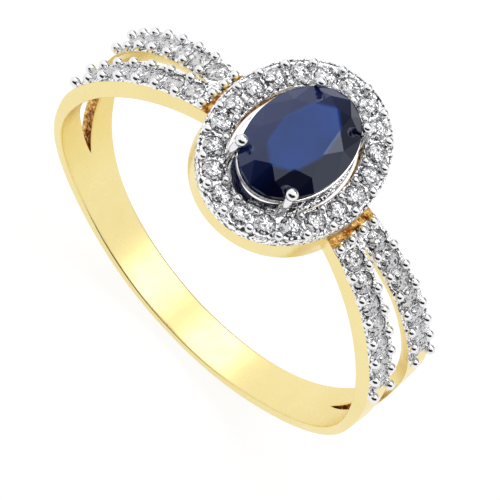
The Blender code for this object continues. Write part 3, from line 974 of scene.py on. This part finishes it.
def sapphire():
    """Inky blue stone: a brighter blue under the table is painted light sent back up by the pavilion, and
    the darker crown, darkest towards +X, is painted shade.
    """
    material, tree, shader = new_material("sapphire_blue")
    shader.inputs["Transmission Weight"].default_value = 0.4
    shader.inputs["IOR"].default_value = 1.77
    shader.inputs["Specular IOR Level"].default_value = 0.4
    shader.inputs["Specular Tint"].default_value = (0.72, 0.80, 1.0, 1)
    place = place_at(tree)
    # Painted light under the table, painted shade on the crown, darker towards +X.
    table_light_mask = ramp(tree, axis(tree, place, "Z"), 0.0, 1.0, 0.58 * MM, 0.632 * MM)
    clouds = ramp(tree, noise_at(tree, 0.45), 0.0, 1.0)
    lit_side_mask = ramp(tree, axis(tree, place, "X"), 0.0, 1.0, 0.6 * MM, -1.2 * MM)
    table_painted_light = mix_colours(tree, clouds, (0.005, 0.050, 0.26), (0.010, 0.072, 0.40))
    rim = mix_colours(tree, lit_side_mask, (0.001, 0.003, 0.020), (0.009, 0.020, 0.12))
    tree.links.new(mix_colours(tree, table_light_mask, rim, table_painted_light), shader.inputs["Base Color"])
    tree.links.new(ramp(tree, noise_at(tree, 5.0), 0.0, 0.015), shader.inputs["Roughness"])
    depth = tree.nodes.new("ShaderNodeVolumeAbsorption")
    depth.inputs["Color"].default_value = (0.0, 0.42, 0.82, 1)
    depth.inputs["Density"].default_value = 1300.0
    tree.links.new(depth.outputs["Volume"], tree.nodes["Material Output"].inputs["Volume"])
    return material


# Stage


def make_floor():
    """A pale round floor under the ring, which glows so that it comes out as white as the tent."""
    material, tree, shader = new_material("studio_floor")
    paper = ramp(tree, noise_at(tree, 0.05), 0.0, 1.0)
    colour = mix_colours(tree, paper, (0.20, 0.20, 0.20), (0.22, 0.22, 0.22))
    tree.links.new(colour, shader.inputs["Base Color"])
    shader.inputs["Roughness"].default_value = 0.9
    shader.inputs["Specular IOR Level"].default_value = 0.0
    shader.inputs["Emission Color"].default_value = (1, 1, 1, 1)
    shader.inputs["Emission Strength"].default_value = 0.86
    bm = bmesh.new()
    bmesh.ops.create_circle(bm, cap_ends=True, segments=96, radius=FLOOR_RADIUS / MM)
    floor = bpy.data.objects.new("studio_floor", to_mesh("studio_floor", bm, (material,)))
    floor.location = (0, 0, cad_box[0].z)
    bpy.context.scene.collection.objects.link(floor)


def direction(azimuth, elevation):
    """Unit vector towards a place seen from the ring. Azimuth 0 is -Y and 90 is +X."""
    a, e = math.radians(azimuth), math.radians(elevation)
    return Vector((math.sin(a) * math.cos(e), -math.cos(a) * math.cos(e), math.sin(e)))


def make_world():
    """A white tent with a dim back and an opening in front, which draws the dark lines in the polish."""
    world = bpy.data.worlds.new("studio_tent")
    world.use_nodes = True
    bpy.context.scene.world = world
    tree = world.node_tree
    background = tree.nodes["Background"]
    place = tree.nodes.new("ShaderNodeTexCoord").outputs["Generated"]
    height = axis(tree, place, "Z")
    above_sill = ramp(tree, height, 0.0, 1.0, 0.15, 0.30)
    below_top = ramp(tree, height, 1.0, 0.0, 0.84, 0.91)
    towards_opening = with_vector(tree, "DOT_PRODUCT", place, OPENING_SIDE, "Value")
    towards_back = with_vector(tree, "DOT_PRODUCT", place, BACK_WALL, "Value")
    beside = ramp(tree, towards_opening, 0.0, 1.0, 0.22, 0.42)
    opening = combine(tree, "MULTIPLY", combine(tree, "MULTIPLY", above_sill, below_top), beside)
    back = ramp(tree, towards_back, 1.0, 0.22, 0.72, 0.92)
    light = combine(tree, "MULTIPLY", back, ramp(tree, opening, 1.0, 0.015, 0.0, 1.0))
    tree.links.new(mix_colours(tree, light, (0, 0, 0), (1, 1, 1)), background.inputs["Color"])
    background.inputs["Strength"].default_value = 1.05


def make_softbox(name, azimuth, elevation):
    data = bpy.data.lights.new(name, "AREA")
    data.shape = "DISK"
    data.size = SOFTBOX_SIZE
    data.energy = SOFTBOX_POWER
    light = bpy.data.objects.new(name, data)
    towards = direction(azimuth, elevation)
    light.location = towards * SOFTBOX_DISTANCE
    light.rotation_euler = towards.to_track_quat("Z", "Y").to_euler()
    bpy.context.scene.collection.objects.link(light)


def make_camera():
    """The photograph's view: from above and in front, rolled so that the head leans to the right."""
    data = bpy.data.cameras.new("camera")
    data.lens = 514.0
    data.sensor_width = 36.0
    data.clip_start = 0.01
    camera = bpy.data.objects.new("camera", data)
    target = Vector((0.69, 0.215, 0.018)) * MM
    towards = direction(14.36, 63.17)
    upright = towards.to_track_quat("Z", "Y").to_matrix().to_4x4()
    roll = Matrix.Rotation(math.radians(33.72), 4, "Z")
    camera.matrix_world = Matrix.Translation(target + towards * CAMERA_DISTANCE) @ upright @ roll
    bpy.context.scene.collection.objects.link(camera)
    bpy.context.scene.camera = camera


FLOOR_RADIUS = 1.5
CAMERA_DISTANCE = 0.3
OPENING_SIDE = direction(28, 0)
BACK_WALL = direction(178, 8)
SOFTBOX_DISTANCE = 0.4
SOFTBOX_SIZE = 0.22
SOFTBOX_POWER = 0.19

make_camera()
make_world()
make_floor()
make_softbox("back_right_softbox", 148, 56)
make_softbox("back_left_softbox", 226, 50)

yellow_tones = ((0.89, 0.76, 0.37), (0.86, 0.72, 0.33))
white_tones = ((0.86, 0.86, 0.87), (0.80, 0.80, 0.82))
yellow = polished_metal("yellow_gold_polished", yellow_tones, 0.25, 0.33, 0.9, 0.004)
white = polished_metal("white_gold_polished", white_tones, 0.04, 0.14, 3.0, 0.012)
paint_bore_reflection(yellow)
recess_shaded_gold = shaded_recess_gold()
graved_shaded = graved_shaded_metal()
make_shank((yellow, recess_shaded_gold))
make_gallery((yellow, recess_shaded_gold))
make_halo_plate((graved_shaded, white))
for side_name, side in SIDES:
    make_shoulder_plate(side_name, side, (graved_shaded, white))
make_basket((white, graved_shaded))
make_sapphire(sapphire())
make_small_stones(diamond())

scene = bpy.context.scene
scene.view_settings.view_transform = "Standard"
